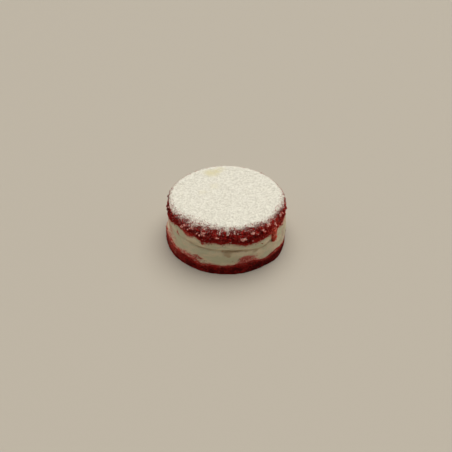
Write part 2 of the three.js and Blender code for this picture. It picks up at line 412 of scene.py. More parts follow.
def fine_copy(node, name, voxel=VOXEL):
    """A copy of a node as one skin of small even faces."""
    piece = bpy.data.objects.new(name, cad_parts[node].data.copy())
    bpy.context.scene.collection.objects.link(piece)
    piece.data.materials.clear()
    only(piece)
    bpy.ops.object.mode_set(mode="EDIT")
    bpy.ops.mesh.select_all(action="SELECT")
    bpy.ops.mesh.remove_doubles(threshold=MERGE_DISTANCE)
    bpy.ops.object.mode_set(mode="OBJECT")
    apply_modifier(piece, "REMESH", mode="VOXEL", voxel_size=voxel)
    return piece


def thin_out(piece, hidden):
    """Decimates the faces whose corners are all hidden, given a truth value for each vertex."""
    only(piece)
    loops = np.zeros(len(piece.data.loops), int)
    piece.data.loops.foreach_get("vertex_index", loops)
    starts = np.zeros(len(piece.data.polygons), int)
    piece.data.polygons.foreach_get("loop_start", starts)
    inside = np.logical_and.reduceat(hidden[loops], starts)
    bpy.ops.object.mode_set(mode="EDIT")
    bpy.ops.mesh.select_mode(type="FACE")
    bpy.ops.mesh.select_all(action="DESELECT")
    bpy.ops.object.mode_set(mode="OBJECT")
    piece.data.polygons.foreach_set("select", inside)
    bpy.ops.object.mode_set(mode="EDIT")
    bpy.ops.mesh.decimate(ratio=HIDDEN_SHARE)
    bpy.ops.object.mode_set(mode="OBJECT")


print("faces of the skin are", VOXEL / MM, "mm wide")

# %% [markdown]
# ## Relief
#
# Small forms could be sculpted, but brush strokes can't be written down. A Displace modifier
# presses a procedural texture into the skin, or moves the skin as a whole, where a vertex group
# lets it. It reads the texture through an empty, so an empty that is scaled sideways draws the
# texture out into strokes. The empty stands off the middle, because such noises can show straight
# lines through their origin. The solids stand a hair apart at the seams, so the outer part of a
# layer's top is raised to close that dark line.

# %% Helpers for relief and for the finished piece
PATTERN_ORIGIN = (0.011, 0.023, 0.037)
SKIN_START = 44.0
SKIN_FULL = 46.5
HIDDEN_RING = 2
SEAM_FILL = 0.45
NEARLY_LEVEL = 0.4
UNDERSIDE = -0.5


def texture(name, kind, size, **settings):
    """A procedural texture whose features are about size mm across."""
    made = bpy.data.textures.new(name, kind)
    made.noise_scale = size * MM
    for key, value in settings.items():
        setattr(made, key, value)
    return made


def press(piece, pattern, reach, group="skin", stretch=(1, 1, 1), middle=0.5, direction="NORMAL"):
    """Displaces the piece by a texture, up to reach mm, where the group is painted."""
    bpy.ops.object.empty_add(location=PATTERN_ORIGIN)
    carrier = bpy.context.object
    carrier.scale = stretch
    bpy.context.view_layer.update()
    apply_modifier(
        piece, "DISPLACE", texture=pattern, strength=reach * MM, mid_level=middle, direction=direction,
        vertex_group=group, texture_coords="OBJECT", texture_coords_object=carrier,
    )
    bpy.data.objects.remove(carrier)


def push(piece, reach, group, direction="NORMAL"):
    """Moves the piece's skin by reach mm where the group is painted."""
    apply_modifier(
        piece, "DISPLACE", strength=reach * MM, mid_level=0, direction=direction, vertex_group=group
    )


def on_side(radius):
    """1 on a layer's side, 0 inside the stack."""
    return smooth_step(radius, SKIN_START, SKIN_FULL)


def raise_top(piece):
    """Raises the outer part of a layer's top, to close the seam above it."""
    outer = smooth_step(places_of(piece)[0], SKIN_START - HIDDEN_RING, SKIN_START)
    paint_group(piece, "top", outer * (facing_up(piece) > NEARLY_LEVEL))
    push(piece, SEAM_FILL, "top", direction="Z")


def finished(piece, material, node):
    """Gives a piece its material and its place in the frame, and says how many triangles it has."""
    piece.data.materials.append(material)
    only(piece)
    bpy.ops.object.shade_smooth()
    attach(piece, "root")
    if node:
        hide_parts(node)
    triangles = sum(len(p.vertices) - 2 for p in piece.data.polygons)
    print(piece.name, triangles, "triangles")


print("relief starts", SKIN_START, "mm from the middle")

# %% [markdown]
# ## Red sponge
#
# Red velvet sponge is cocoa brown under a strong red dye. Its cut side is moist and dense, with
# fine open pores, and it is darkest in them. The colour mixes two reds by a broad and a fine noise,
# and the pores are cells that darken it and dip the bump. It has hardly any gloss: even a faint
# white sheen would turn the deep red pink. Where the cream was drawn over it, it wears a thin
# pinkish smear, which a painted attribute places and a stretched noise breaks up.

# %% Material of the sponge
DEEP_RED = (0.07, 0.0028, 0.0022, 1)
SPONGE_RED = (0.32, 0.0115, 0.0085, 1)
RUBBED_RED = (0.52, 0.055, 0.04, 1)
SMEARED_CREAM = (0.66, 0.36, 0.27, 1)
# Light that enters a crumb comes out red. The socket names are written with underscores.
RED_GLOW = {
    "Subsurface_Weight": 0.06,
    "Subsurface_Scale": 0.001,
    "Subsurface_Radius": (1.0, 0.2, 0.15),
}


def sponge_material():
    finish = Finish("sponge", specular=0.06, **RED_GLOW)
    broad = finish.mm.noise(4.0, roughness=0.6)
    grain = finish.mm.noise(0.7, detail=4.0, roughness=0.65)
    pores = finish.mm.cells(0.9).between(0.14, 0.42)
    # The attribute read here darkens the sponge at the front right: painted shade.
    tone = (0.7 * broad + 0.6 * grain - 0.11 * finish.attribute("painted_shade")).between(0.535, 0.76)
    red = (tone * pores).mix(DEEP_RED, SPONGE_RED)
    # The smear first rubs the red paler, and covers it where it is thick and a streak is strong.
    streaks = finish.mm.stretched(3, 3, 1).noise(1.2, detail=4.0, roughness=0.65)
    smear = finish.attribute("smear")
    rubbed = (smear + 0.6 * grain - 0.3).between(0.05, 0.9).mix(red, RUBBED_RED)
    creamy = (smear + 2.2 * streaks - 1.1).between(0.5, 1.15)
    finish.set("Base Color", creamy.mix(rubbed, SMEARED_CREAM))
    finish.set("Roughness", 0.9 - 0.3 * grain)
    finish.bump(0.7 * grain + 0.6 * pores, depth=0.3)
    return finish.material


sponge_finish = sponge_material()
print("sponge material", len(sponge_finish.node_tree.nodes), "nodes")

# %% [markdown]
# ## The lower sponge
#
# This is the disc that the cake stands on. Its side was cut by a ring, so it is nearly straight,
# with pores and small crumbs torn open. Clouds press in the unevenness and a Voronoi pattern the
# pores, and its lowest edge stays straight, because it rests there. The ledge that stands out
# under the cream is smeared with it, least at the front right, and so is the left side. At the
# front right the sponge is also painted darker, as painted shade.

# %% Lower sponge
RESTING_EDGE = 0.2
FREE_SIDE = 0.9
LEDGE_DEPTH = 2.2
LEDGE_CREST = 0.3
CLEANEST_LEDGE = 32
CLEAN_TO = 38
SMEARED_FROM = 80
LEAST_SMEAR = 0.42
FURTHER_SMEAR = 0.4
SIDE_SMEAR = 0.45
SIDE_SMEAR_RISE = (-2, 4)
# A side is its middle and its width in degrees.
SMEARED_SIDE = (-60, 24)
# The side where the sponge is painted darker, as painted shade.
SHADED_SIDE = (40, 30)

base = fine_copy("sponge_base", "lower_sponge")
radius, degrees, z = places_of(base)
paint_group(base, "skin", on_side(radius) * smooth_step(z, RESTING_EDGE, FREE_SIDE))
raise_top(base)
press(base, texture("sponge_lumps", "CLOUDS", 2.6, noise_depth=2), reach=0.9)
press(base, texture("sponge_grain", "CLOUDS", 0.9, noise_depth=1), reach=0.45)
press(base, texture("sponge_pores", "VORONOI", 1.5), reach=0.5)
thin_out(base, places_of(base)[0] < SKIN_START)

radius, degrees, z = places_of(base)
shows = radius > SKIN_START
on_ledge = smooth_step(z - base_top(degrees), -LEDGE_DEPTH, LEDGE_CREST) * shows
from_cleanest = np.abs(degrees_between(degrees, CLEANEST_LEDGE))
ledge_smear = LEAST_SMEAR + FURTHER_SMEAR * smooth_step(from_cleanest, CLEAN_TO, SMEARED_FROM)
on_left = SIDE_SMEAR * near(degrees, *SMEARED_SIDE) * smooth_step(z, *SIDE_SMEAR_RISE)
paint_attribute(base, "smear", np.maximum(on_ledge * ledge_smear, on_left * shows))
# Painted shade: the sponge is darker at the front right.
paint_attribute(base, "painted_shade", near(degrees, *SHADED_SIDE))
finished(base, sponge_finish, "sponge_base")

# %% [markdown]
# ## Cream
#
# Whipped cream cheese frosting is ivory, satin and slightly see-through, so light bleeds under its
# skin. Its tone wanders at random from beige to a greenish ivory, and greenish patches are painted
# reflected light. Where it touched the sponge it took up red crumb juice and turned pink in streaks
# that follow the knife, so the noise that breaks them up is stretched sideways. Inside the pink lie
# darker specks of crushed crumb.

# %% Material of the cream
CREAM = (0.76, 0.645, 0.46, 1)
CREAM_COOL = (0.62, 0.59, 0.41, 1)
CREAM_SHADE = (0.50, 0.375, 0.235, 1)
PINK = (0.72, 0.24, 0.185, 1)
CRUSHED_CRUMBS = (0.44, 0.05, 0.035, 1)
CREAM_GLOW = {
    "Subsurface_Weight": 0.3,
    "Subsurface_Scale": 0.0015,
    "Subsurface_Radius": (1.0, 0.75, 0.5),
}


def cream_material():
    finish = Finish("cream", specular=0.35, **CREAM_GLOW)
    level = finish.mm.stretched(2.2, 2.2, 1)
    broad = level.noise(5.0, roughness=0.6)
    fine = finish.mm.noise(0.8, detail=4.0)
    # The attribute read here paints greenish reflected light on the cream.
    warmth = 0.75 * broad + 0.25 * fine - 0.13 * finish.attribute("greenish_reflection")
    ivory = warmth.between(0.4, 0.58).mix(CREAM_COOL, CREAM)
    # Painted shade: the cream turns darker and browner in its hollows and along its fold.
    shade_in_hollows = finish.attribute("shade_in_hollows") + 1.1 * level.noise(2.2, detail=4.0, roughness=0.6) - 0.55
    shaded = shade_in_hollows.between(0.1, 0.95).mix(ivory, CREAM_SHADE)
    # A stain shows where its attribute is strong or a streak of the knife is.
    streaks = finish.mm.stretched(2.6, 2.6, 1).noise(1.1, detail=5.0, roughness=0.65)
    stain = (finish.attribute("stain") + 1.7 * streaks - 0.85).between(0.2, 1.0)
    crushed = finish.mm.noise(0.9, detail=4.0, roughness=0.7).between(0.4, 0.58)
    finish.set("Base Color", stain.mix(shaded, crushed.mix(PINK, CRUSHED_CRUMBS)))
    finish.set("Roughness", 0.42 + 0.25 * fine)
    finish.bump(finish.mm.noise(0.6), depth=0.05)
    return finish.material


cream_finish = cream_material()
print("cream material", len(cream_finish.node_tree.nodes), "nodes")

# %% [markdown]
# ## The band of cream
#
# The cream was spread level with the ring, so its side has long flat strokes, a fold where two
# strokes meet, and a lip that was squeezed out under the crust. The copy of the solid is smoothed
# first, away from its edges. Then each mark is a painted vertex group that a Displace modifier
# pushes in or out. The fold is a narrow crease with the upper stroke's swelling above it, deepest
# at the front and the back, and the knife pressed it flat in two places at the front.

# %% Band of cream
CREAM_VOXEL = 0.39 * MM
SMOOTHINGS = 24
SHARP_EDGE = 0.8
FREE_FLANK = 2.5
FOLD_HEIGHT = 21.9
FOLD_HUMPS = [(-38, 1.8, 12), (-5, 1.0, 7), (34, -3.2, 14), (120, 1.6, 25), (205, -1.4, 22)]
FLATTENED_FOLD = [(-12, 0.7, 7), (15, 0.75, 12)]
FOLD_AT_SIDES = 0.25
# A wave is its height, its number round the cake and its start in degrees.
FOLD_WAVES = [(0.5, 11, 0), (0.3, 29, 40)]
WAVES_IN_HEIGHT = 0.4
USUAL_DEPTH = 0.7
WAVES_IN_DEPTH = 0.5
CREASE_WIDTH = 1.0
SWELLING_ABOVE_FOLD = 2.2
SWELLING_WIDTH = 1.6
LIP_SIDE = (-10, 13)
LIP_BELOW_CRUST = 1.4
LIP_WIDTH = 0.9


def fold_height(degrees):
    return FOLD_HEIGHT + humps(FOLD_HUMPS, degrees)


def less_at_sides(degrees, share):
    """1 at the front and the back, falling to a share at the two sides."""
    return share + (1 - share) * np.cos(np.radians(degrees)) ** 2


cream = fine_copy("cream_filling", "cream_band", CREAM_VOXEL)
radius, degrees, z = places_of(cream)
from_seams = np.minimum(z - base_top(degrees), crust_foot(degrees) - z)
side = on_side(radius)
paint_group(cream, "flanks", side * smooth_step(from_seams, SHARP_EDGE, FREE_FLANK))
apply_modifier(cream, "SMOOTH", factor=0.5, iterations=SMOOTHINGS, vertex_group="flanks")

radius, degrees, z = places_of(cream)
waver = sum(size * np.sin(np.radians(count * degrees + start)) for size, count, start in FOLD_WAVES)
from_fold = z - fold_height(degrees) - WAVES_IN_HEIGHT * waver
strength = less_at_sides(degrees, FOLD_AT_SIDES)
strength *= (USUAL_DEPTH + WAVES_IN_DEPTH * waver) * (1 - humps(FLATTENED_FOLD, degrees))
lip = near(degrees, *LIP_SIDE) * bell(crust_foot(degrees) - z - LIP_BELOW_CRUST, LIP_WIDTH)
paint_group(cream, "skin", side)
paint_group(cream, "crease", side * strength * bell(from_fold, CREASE_WIDTH))
above_fold = bell(from_fold - SWELLING_ABOVE_FOLD, SWELLING_WIDTH)
paint_group(cream, "swelling", side * strength * above_fold)
paint_group(cream, "lip", side * lip)
raise_top(cream)
push(cream, reach=-0.6, group="crease")
push(cream, reach=0.75, group="swelling")
push(cream, reach=0.6, group="lip")
press(cream, texture("knife_strokes", "CLOUDS", 1.0, noise_depth=2), reach=0.9, stretch=(11, 11, 2.6))
press(cream, texture("knife_marks", "CLOUDS", 1.0, noise_depth=1), reach=0.4, stretch=(5, 5, 1.3))
press(cream, texture("cream_lumps", "CLOUDS", 3.5, noise_depth=1), reach=0.4)
thin_out(cream, places_of(cream)[0] < SKIN_START)
print("band of cream:", len(cream.data.polygons), "faces")

# %% [markdown]
# ## Stains, painted shade and painted reflections on the cream
#
# Crumbs that the knife dragged along left pink stains, most of them along the seams, where only
# the two sides are cleaner. Its hollows and its fold are painted darker and browner, as painted
# shade, and greenish patches are painted reflected light.
# A texture could be painted by hand, but a list is easier to change: each mark is a soft patch,
# given by its strength, its middle in degrees and mm, and its half sizes in degrees and mm.

# %% Stains, painted shade and painted reflections on the cream
TONGUE_AT = 49.9
STAINS = [
    (1.6, 17.4, 10.8, 4.4, 3.2), (1.5, 15.6, 13.0, 2.3, 2.2), (0.8, 20.8, 13.9, 3.8, 2.1),
    (0.5, 27.5, 12.0, 4.6, 3.0), (0.8, -27.5, 13.2, 2.8, 1.2), (0.8, -23.2, 11.4, 2.4, 1.5),
    (0.45, -30.0, 10.6, 8.0, 2.2), (0.35, -40.0, 12.0, 7.0, 2.0), (1.3, -50.6, 25.3, 1.8, 2.9),
    (1.0, -38.5, 30.2, 2.0, 2.6), (0.7, -42.5, 31.6, 3.6, 1.4), (0.9, -21.5, 27.6, 1.5, 1.8),
    (0.45, -35.0, 30.0, 3.0, 2.0), (0.6, -67.0, 19.0, 9.0, 10.0), (0.5, 68.0, 16.0, 7.0, 10.0),
    (0.5, 77.0, 24.0, 4.0, 7.0), (0.45, -74.0, 24.0, 4.0, 6.0), (0.35, -56.0, 15.0, 4.0, 3.0),
    (0.75, TONGUE_AT, 25.0, 3.6, 8.5), (0.5, 132.0, 12.0, 9.0, 3.0), (0.45, 214.0, 13.0, 14.0, 2.5),
]
# Patches of painted shade in the cream's hollows.
PAINTED_SHADE_SPOTS = [
    (0.6, -3.2, 21.8, 1.2, 0.9), (0.7, 1.8, 20.9, 6.0, 1.9), (0.8, 0.8, 18.6, 3.0, 1.8),
    (0.9, 2.6, 16.8, 1.6, 1.4), (0.7, 9.5, 21.6, 3.0, 0.9), (0.4, 14.0, 20.9, 3.0, 1.2),
    (0.9, 18.6, 20.2, 2.0, 1.1), (0.85, 27.0, 17.6, 4.0, 1.4), (0.8, 23.0, 13.0, 1.5, 1.3),
    (0.6, -21.0, 22.8, 6.0, 0.8), (0.35, 38.0, 18.8, 5.0, 1.5), (0.45, -30.0, 25.5, 12.0, 1.4),
    (0.4, -14.0, 28.0, 9.0, 1.4), (0.3, 6.0, 22.5, 12.0, 3.5),
]
# Patches of painted greenish reflected light.
GREENISH_REFLECTIONS = [
    (1.0, -3.0, 13.5, 12.0, 4.0), (0.8, -20.0, 19.0, 8.0, 2.4), (0.7, 33.0, 23.5, 8.0, 2.5),
    (1.1, -62.0, 27.0, 4.0, 4.0), (1.0, -49.0, 20.0, 5.0, 4.0), (1.0, 64.0, 24.0, 3.0, 5.0),
]
STAIN_BY_BASE = 0.85
REACH_FROM_BASE = 2.2
STAIN_BY_CRUST = 0.65
REACH_FROM_CRUST = 1.7
CLEANER_SIDES = [(-70, 0.45, 22), (62, 0.45, 20)]
MOST_STAINED = 1.4
FOLD_SHADE = 0.8
FOLD_SHADE_WIDTH = 1.1
SHADE_AT_SIDES = 0.15
SHALLOW_SIDE = (2, 14)
SHALLOWER = 0.85


def patches(listed, degrees, z):
    """The sum of the listed patches at each point."""
    return sum(share * spot(degrees, z, *where) for share, *where in listed)


radius, degrees, z = places_of(cream)
by_base = STAIN_BY_BASE * (1 - humps(CLEANER_SIDES, degrees))
by_base *= bell(z - base_top(degrees), REACH_FROM_BASE)
by_seams = by_base + STAIN_BY_CRUST * bell(crust_foot(degrees) - z, REACH_FROM_CRUST)
paint_attribute(cream, "stain", np.clip(by_seams + patches(STAINS, degrees, z), 0, MOST_STAINED))
# Painted shade along the fold.
shade_in_fold = FOLD_SHADE * bell(z - fold_height(degrees), FOLD_SHADE_WIDTH)
shade_in_fold *= less_at_sides(degrees, SHADE_AT_SIDES)
shade_in_fold *= 1 - SHALLOWER * near(degrees, *SHALLOW_SIDE)
paint_attribute(cream, "shade_in_hollows", np.clip(shade_in_fold + patches(PAINTED_SHADE_SPOTS, degrees, z), 0, 1))
paint_attribute(cream, "greenish_reflection", patches(GREENISH_REFLECTIONS, degrees, z))
finished(cream, cream_finish, "cream_filling")

# %% [markdown]
# ## Crumbs
#
# The crust and its crumbs share a finish: moist red crumbs, some nearly black and some bright, with
# icing sugar lying on what faces up. Each crumb carries its own tone, and every vertex says how
# much sugar reached it. The sugar lies in specks, so a noise cuts it into white and bare places.
# On the side only a thin film holds, and over red crumbs that looks pink.

# %% Material of the crumbs
CRUMB_DARK = (0.085, 0.0028, 0.0022, 1)
CRUMB_RED = (0.42, 0.013, 0.0095, 1)
CRUMB_BRIGHT = (0.80, 0.14, 0.08, 1)
SUGARED_SIDE = (0.92, 0.47, 0.40, 1)
SUGARED_TOP = (0.82, 0.75, 0.66, 1)
DRIFT_SIZE = 3.2
RIM_TOP = 37.3
RIM_DEPTH = 1.6


def crumb_material():
    finish = Finish("crumbs", specular=0.1, **RED_GLOW)
    grain = finish.mm.noise(0.45, detail=4.0, roughness=0.65)
    tone = finish.attribute("tone") + 0.6 * grain - 0.3
    dark_or_red = tone.between(0.1, 0.8).mix(CRUMB_DARK, CRUMB_RED)
    red = tone.between(0.95, 1.5).mix(dark_or_red, CRUMB_BRIGHT)
    # Sugar settles on what faces up, and falls in specks and in broad drifts.
    speckle = finish.mm.noise(0.5, roughness=0.6)
    drifts = finish.mm.noise(DRIFT_SIZE, roughness=0.6)
    settled = finish.upward().between(-0.2, 0.9)
    dusty = finish.attribute("dust") * (0.4 + 0.6 * settled)
    dust = (dusty + 2.6 * speckle - 0.9 * drifts - 0.85).between(0.4, 0.62)
    powder = finish.mm.height().between(RIM_TOP - RIM_DEPTH, RIM_TOP).mix(SUGARED_SIDE, SUGARED_TOP)
    finish.set("Base Color", dust.mix(red, powder))
    finish.set("Roughness", 0.6 + 0.35 * grain)
    finish.bump(grain, depth=0.22)
    return finish.material


crumb_finish = crumb_material()
print("crumb material", len(crumb_finish.node_tree.nodes), "nodes")

# %% [markdown]
# ## Where the sugar falls
#
# Sugar sifted from above lies thick on the top. Towards the rim the crumbs come through it in
# specks, and it thins out down the side, further down where it has trickled. How far the wear
# reaches in changes from place to place, with narrow fingers of bare crumbs and spikes of sugar
# between them, and a noise alone wouldn't put them where the photograph has them. So a table gives,
# at each angle, the radius in mm where the wear starts and that where half of the sugar has gone.

# %% Sugar at the rim and on the side
RIM_WEAR = [
    (-100, 46.2, 49.2), (-75, 43.4, 48.5), (-62, 41.6, 47.4), (-55, 40.4, 45.4), (-49, 37.8, 42.9),
    (-42, 37.0, 42.8), (-36, 35.4, 44.4), (-32, 35.4, 41.8), (-28, 34.8, 39.9), (-24, 36.4, 41.9),
    (-20, 36.6, 40.5), (-12, 36.8, 40.3), (-4, 37.4, 40.7), (1, 38.2, 44.0), (5, 38.2, 41.4),
    (15, 39.0, 42.6), (26, 39.0, 41.9), (34, 39.6, 42.9), (45, 41.2, 45.0), (58, 42.0, 44.6),
    (66, 42.0, 44.8), (75, 43.2, 47.6), (100, 46.2, 49.2), (180, 47.0, 49.4),
]
BARE_AT_START = 0.15
BARE_TO_HALF = 0.35
BARE_AT_MOST = 0.8
TRICKLES = [(-40, 1.6, 14), (-95, 1.6, 12), (150, 1.8, 16)]
DUSTED_ABOVE = 0.3
DUSTED_BELOW = 1.7


def rim_wear(degrees):
    """The radius where the wear starts and that where half the sugar has gone, at an angle."""
    angles, starts, halves = zip(*RIM_WEAR)
    return [np.interp(degrees, angles, radii, period=360) for radii in (starts, halves)]


def bare(radius, degrees):
    """The share of crumbs that show through the sugar: 0 well inside, most of them at the rim."""
    start, half = rim_wear(degrees)
    return np.clip(BARE_AT_START + BARE_TO_HALF * (radius - start) / (half - start), 0, BARE_AT_MOST)


def dusting(radius, degrees, z):
    """How much sugar reaches a place on the crumbs, from 0 to 1."""
    lowest = RIM_TOP - DUSTED_BELOW - humps(TRICKLES, degrees)
    return (1 - bare(radius, degrees)) * smooth_step(z, lowest, RIM_TOP + DUSTED_ABOVE)


print("crumbs that show at the front's rim:", bare(40, 0).round(2), "to", bare(49, 0).round(2))

# %% [markdown]
# ## The crust
#
# The upper sponge is a crumbly slab. Its copy keeps the big crumbs and the tongue that hangs over
# the cream, which is only nudged sideways into place. Voronoi cells break the side into small
# lumps, also on the rim that the sugar leaves bare. At the front left the knife smeared the foot
# into the cream. The pale cream throws light back on the crust's foot. The render does so too,
# but less than the photograph shows, so the crumbs there get a brighter tone.

# %% Crust
SMEARED_FOOT = [(1.0, -38.0, 30.5, 4.5, 2.4), (0.8, -45.5, 32.0, 3.5, 1.2)]
GLOW = 0.35
GLOW_HEIGHT = 0.8
GLOW_REACH = 1.8
WORN_DEPTH = 4
WORN_MARGIN = 1
CRUST_TONE = 0.2
SMEAR_TONE = 1.1
TONGUE_TONE = 1.3
SMEAR_DUST = 0.35


def smeared_foot(degrees, z):
    """Where the knife smeared the crust's foot into the cream, from 0 to 1."""
    return np.clip(patches(SMEARED_FOOT, degrees, z), 0, 1)


def foot_glow(degrees, z):
    """Light that the pale cream throws back on the crust's foot, as a gain in tone."""
    return GLOW * bell(z - crust_foot(degrees) - GLOW_HEIGHT, GLOW_REACH)


crust = fine_copy("sponge_crust", "crust")
radius, degrees, z = places_of(crust)
inner = np.where(z > RIM_TOP - WORN_DEPTH, rim_wear(degrees)[0] - WORN_MARGIN, SKIN_START)
paint_group(crust, "skin", smooth_step(radius, inner, inner + (SKIN_FULL - SKIN_START)))
nudged = spot(degrees, z, at=TONGUE_AT, height=24, width=5, reach=9)
paint_group(crust, "tongue", nudged)
push(crust, reach=0.7, group="tongue", direction="X")
press(crust, texture("crust_lumps", "CLOUDS", 2.2, noise_depth=1), reach=0.9)
press(crust, texture("crust_cells", "VORONOI", 1.6), reach=0.9, middle=0.4)
press(crust, texture("crust_grain", "CLOUDS", 0.7, noise_depth=1), reach=0.35)
radius, degrees, _ = places_of(crust)
thin_out(crust, radius < np.minimum(SKIN_START, rim_wear(degrees)[0] - HIDDEN_RING))

radius, degrees, z = places_of(crust)
smeared = smeared_foot(degrees, z)
on_tongue = spot(degrees, z, at=TONGUE_AT, height=23, width=6, reach=10)
# Tongue and smear raise the tone; the foot's glow is painted light thrown back by the cream.
tone_and_glow = TONGUE_TONE * on_tongue + SMEAR_TONE * smeared + foot_glow(degrees, z)
paint_attribute(crust, "tone", CRUST_TONE + tone_and_glow)
paint_attribute(crust, "dust", dusting(radius, degrees, z) + SMEAR_DUST * smeared)
finished(crust, crumb_finish, "sponge_crust")

# %% [markdown]
# ## Icing sugar
#
# Sifted sugar is a fine white powder. It scatters nearly all light, so it has no gloss, and only
# its tiny clumps give it a grain. Near the rim it is cut into specks, as on the crumbs, and the
# loose grains on the side are pink. A few pale yellow marks on the far half are where it turned
# damp. Each is a distance from a place, and a noise makes its outline wander.

# %% Material of the sugar
SUGAR_PALE = (0.88, 0.865, 0.785, 1)
SUGAR_DIM = (0.59, 0.565, 0.495, 1)
SUGAR_DAMP = (0.70, 0.65, 0.45, 1)
SUGAR_PINK = (0.94, 0.49, 0.42, 1)
# Crumbs under the worn sugar, darkened by painted shade.
BARE_CRUMBS_IN_SHADE = (0.22, 0.016, 0.012, 1)
SUGAR_GLOW = {
    "Subsurface_Weight": 0.3,
    "Subsurface_Scale": 0.0006,
    "Subsurface_Radius": (1.0, 0.97, 0.9),
}
DAMP_CORE = 0.1
DAMP_WANDER = 7
# A damp spot is its place in mm, its reach in mm and its strength.
DAMP_SPOTS = [
    ((-11.7, 35.0, 38.3), 10.0, 0.7), ((-17.5, 35.6, 38.3), 7.5, 0.4), ((-5.8, 41.5, 38.0), 7.5, 0.5),
    ((-10.4, 15.0, 38.3), 8.0, 0.35), ((-19.4, 5.8, 38.3), 7.0, 0.3),
]


def damp_marks(finish):
    """Where the sugar turned damp, from 0 to 1."""
    blotch = finish.mm.noise(3.5, detail=4.0, roughness=0.65)
    damp = 0.0
    for place, reach, share in DAMP_SPOTS:
        away = finish.mm.distance(place) + DAMP_WANDER * blotch - DAMP_WANDER / 2
        damp = damp + share * (1 - away.between(DAMP_CORE * reach, reach))
    return damp.between(0, 1)


def sugar_material():
    finish = Finish("sugar", specular=0.15, Roughness=0.95, **SUGAR_GLOW)
    drifts = finish.mm.noise(DRIFT_SIZE, roughness=0.6)
    clumps = finish.mm.noise(1.4, detail=4.0, roughness=0.75)
    grain = finish.mm.noise(0.4, detail=2.0, roughness=0.6)
    brightness = (0.2 * drifts + 0.55 * clumps + 0.25 * grain).between(0.38, 0.6)
    powder = brightness.mix(SUGAR_DIM, SUGAR_PALE)
    pale = finish.attribute("pink").mix(powder, SUGAR_PINK)
    whole = damp_marks(finish).mix(pale, SUGAR_DAMP)
    specks = finish.mm.noise(0.9, detail=4.0, roughness=0.7)
    bared = (finish.attribute("bare") + 2.6 * specks + 0.9 * drifts - 1.75).between(0.42, 0.6)
    # Where the sugar is worn, dark red specks show: crumbs under it, made darker by painted shade.
    finish.set("Base Color", bared.mix(whole, BARE_CRUMBS_IN_SHADE))
    finish.bump(0.6 * clumps + 0.4 * grain, depth=0.05)
    return finish.material


sugar_finish = sugar_material()
print("sugar material", len(sugar_finish.node_tree.nodes), "nodes")

# %% [markdown]
# ## The dusting on top
#
# The layer of sugar is soft and lies on the crumbs under it, so its top has low waves and fine
# clumps. Towards its edge it thins out: the copy's edge sinks unevenly into the crust, and the
# crumbs come through. Its underside is pushed down so that no gap shows.

# %% Dusting on top
STEEP = 0.3
SINK_BELOW = -0.6
SINK_AT_RIM = -1.2
WORN_FROM = 0.2
WORN_THROUGH = 0.65
EDGE_START = 2.6
EDGE_FULL = 0.4

sugar = fine_copy("sugar_dusting", "sugar_top")
radius, degrees, _ = places_of(sugar)
paint_group(sugar, "below", facing_up(sugar) < -STEEP)
paint_group(sugar, "skin", smooth_step(facing_up(sugar), -STEEP, STEEP))
paint_group(sugar, "worn_rim", smooth_step(bare(radius, degrees), WORN_FROM, WORN_THROUGH))
from_edge = sugar_edge(degrees) - radius
paint_group(sugar, "edge", smooth_step(from_edge, EDGE_START, EDGE_FULL))
push(sugar, SINK_BELOW, "below", direction="Z")
push(sugar, SINK_AT_RIM, "worn_rim", direction="Z")
press(sugar, texture("sugar_waves", "CLOUDS", 6.0, noise_depth=1), reach=0.45)
press(sugar, texture("sugar_clumps", "CLOUDS", 1.8, noise_depth=1), reach=0.24)
ragged = texture("sugar_edge", "CLOUDS", 2.0, noise_depth=2)
press(sugar, ragged, reach=-2.6, group="worn_rim", middle=0.4, direction="Z")
drips = texture("sugar_drips", "CLOUDS", 1.6, noise_depth=2)
press(sugar, drips, reach=-2.0, group="edge", middle=0.4, direction="Z")
deep_inside = places_of(sugar)[0] < SKIN_START - HIDDEN_RING
thin_out(sugar, (facing_up(sugar) < UNDERSIDE) & deep_inside)
radius, degrees, _ = places_of(sugar)
paint_attribute(sugar, "bare", bare(radius, degrees))
finished(sugar, sugar_finish, "sugar_dusting")

# %% [markdown]
# ## Crumb shapes
#
# Thousands of crumbs cling to the crust, and a few have fallen on the cream. One crumb is an ico
# sphere whose corners are pushed about at random. The larger ones are also dented and pitted by
# textures, and the middle ones then lose some faces again, because there are thousands of them. A
# handful of such shapes is enough, as each copy is turned and sized afresh. Each shape is made at
# a place of its own, so that the textures, which lie still in the world, dent it in its own way.

# %% Crumb shapes
SHAPE_SPACING = 7
DENT_SIZE = 1.1
DENT_DEPTH = 2.4
PIT_SIZE = 0.7

dents = bpy.data.textures.new("crumb_dents", "CLOUDS")
dents.noise_scale = DENT_SIZE
pits = bpy.data.textures.new("crumb_pits", "VORONOI")
pits.noise_scale = PIT_SIZE


def lump_shapes(count, divisions, offset, seed, pitted=0.0, keep=1.0):
    """Several irregular lumps of radius about 1, each as its points and triangles."""
    shapes = []
    for i in range(count):
        place = (SHAPE_SPACING * i, seed, 0)
        bpy.ops.mesh.primitive_ico_sphere_add(subdivisions=divisions, radius=1, location=place)
        lump = bpy.context.object
        bpy.ops.object.mode_set(mode="EDIT")
        bpy.ops.transform.vertex_random(offset=offset, uniform=0.6, normal=0.5, seed=seed + i)
        bpy.ops.object.mode_set(mode="OBJECT")
        if pitted:
            for pattern, depth in ((dents, DENT_DEPTH * pitted), (pits, pitted)):
                settings = {"texture": pattern, "texture_coords": "GLOBAL", "strength": depth}
                apply_modifier(lump, "DISPLACE", **settings)
        if keep < 1:
            apply_modifier(lump, "DECIMATE", ratio=keep)
        faces = np.array([p.vertices[:] for p in lump.data.polygons])
        points = of_vertices(lump, "co")
        shapes.append((points / np.abs(points).max(), faces))
        bpy.data.objects.remove(lump)
    return shapes


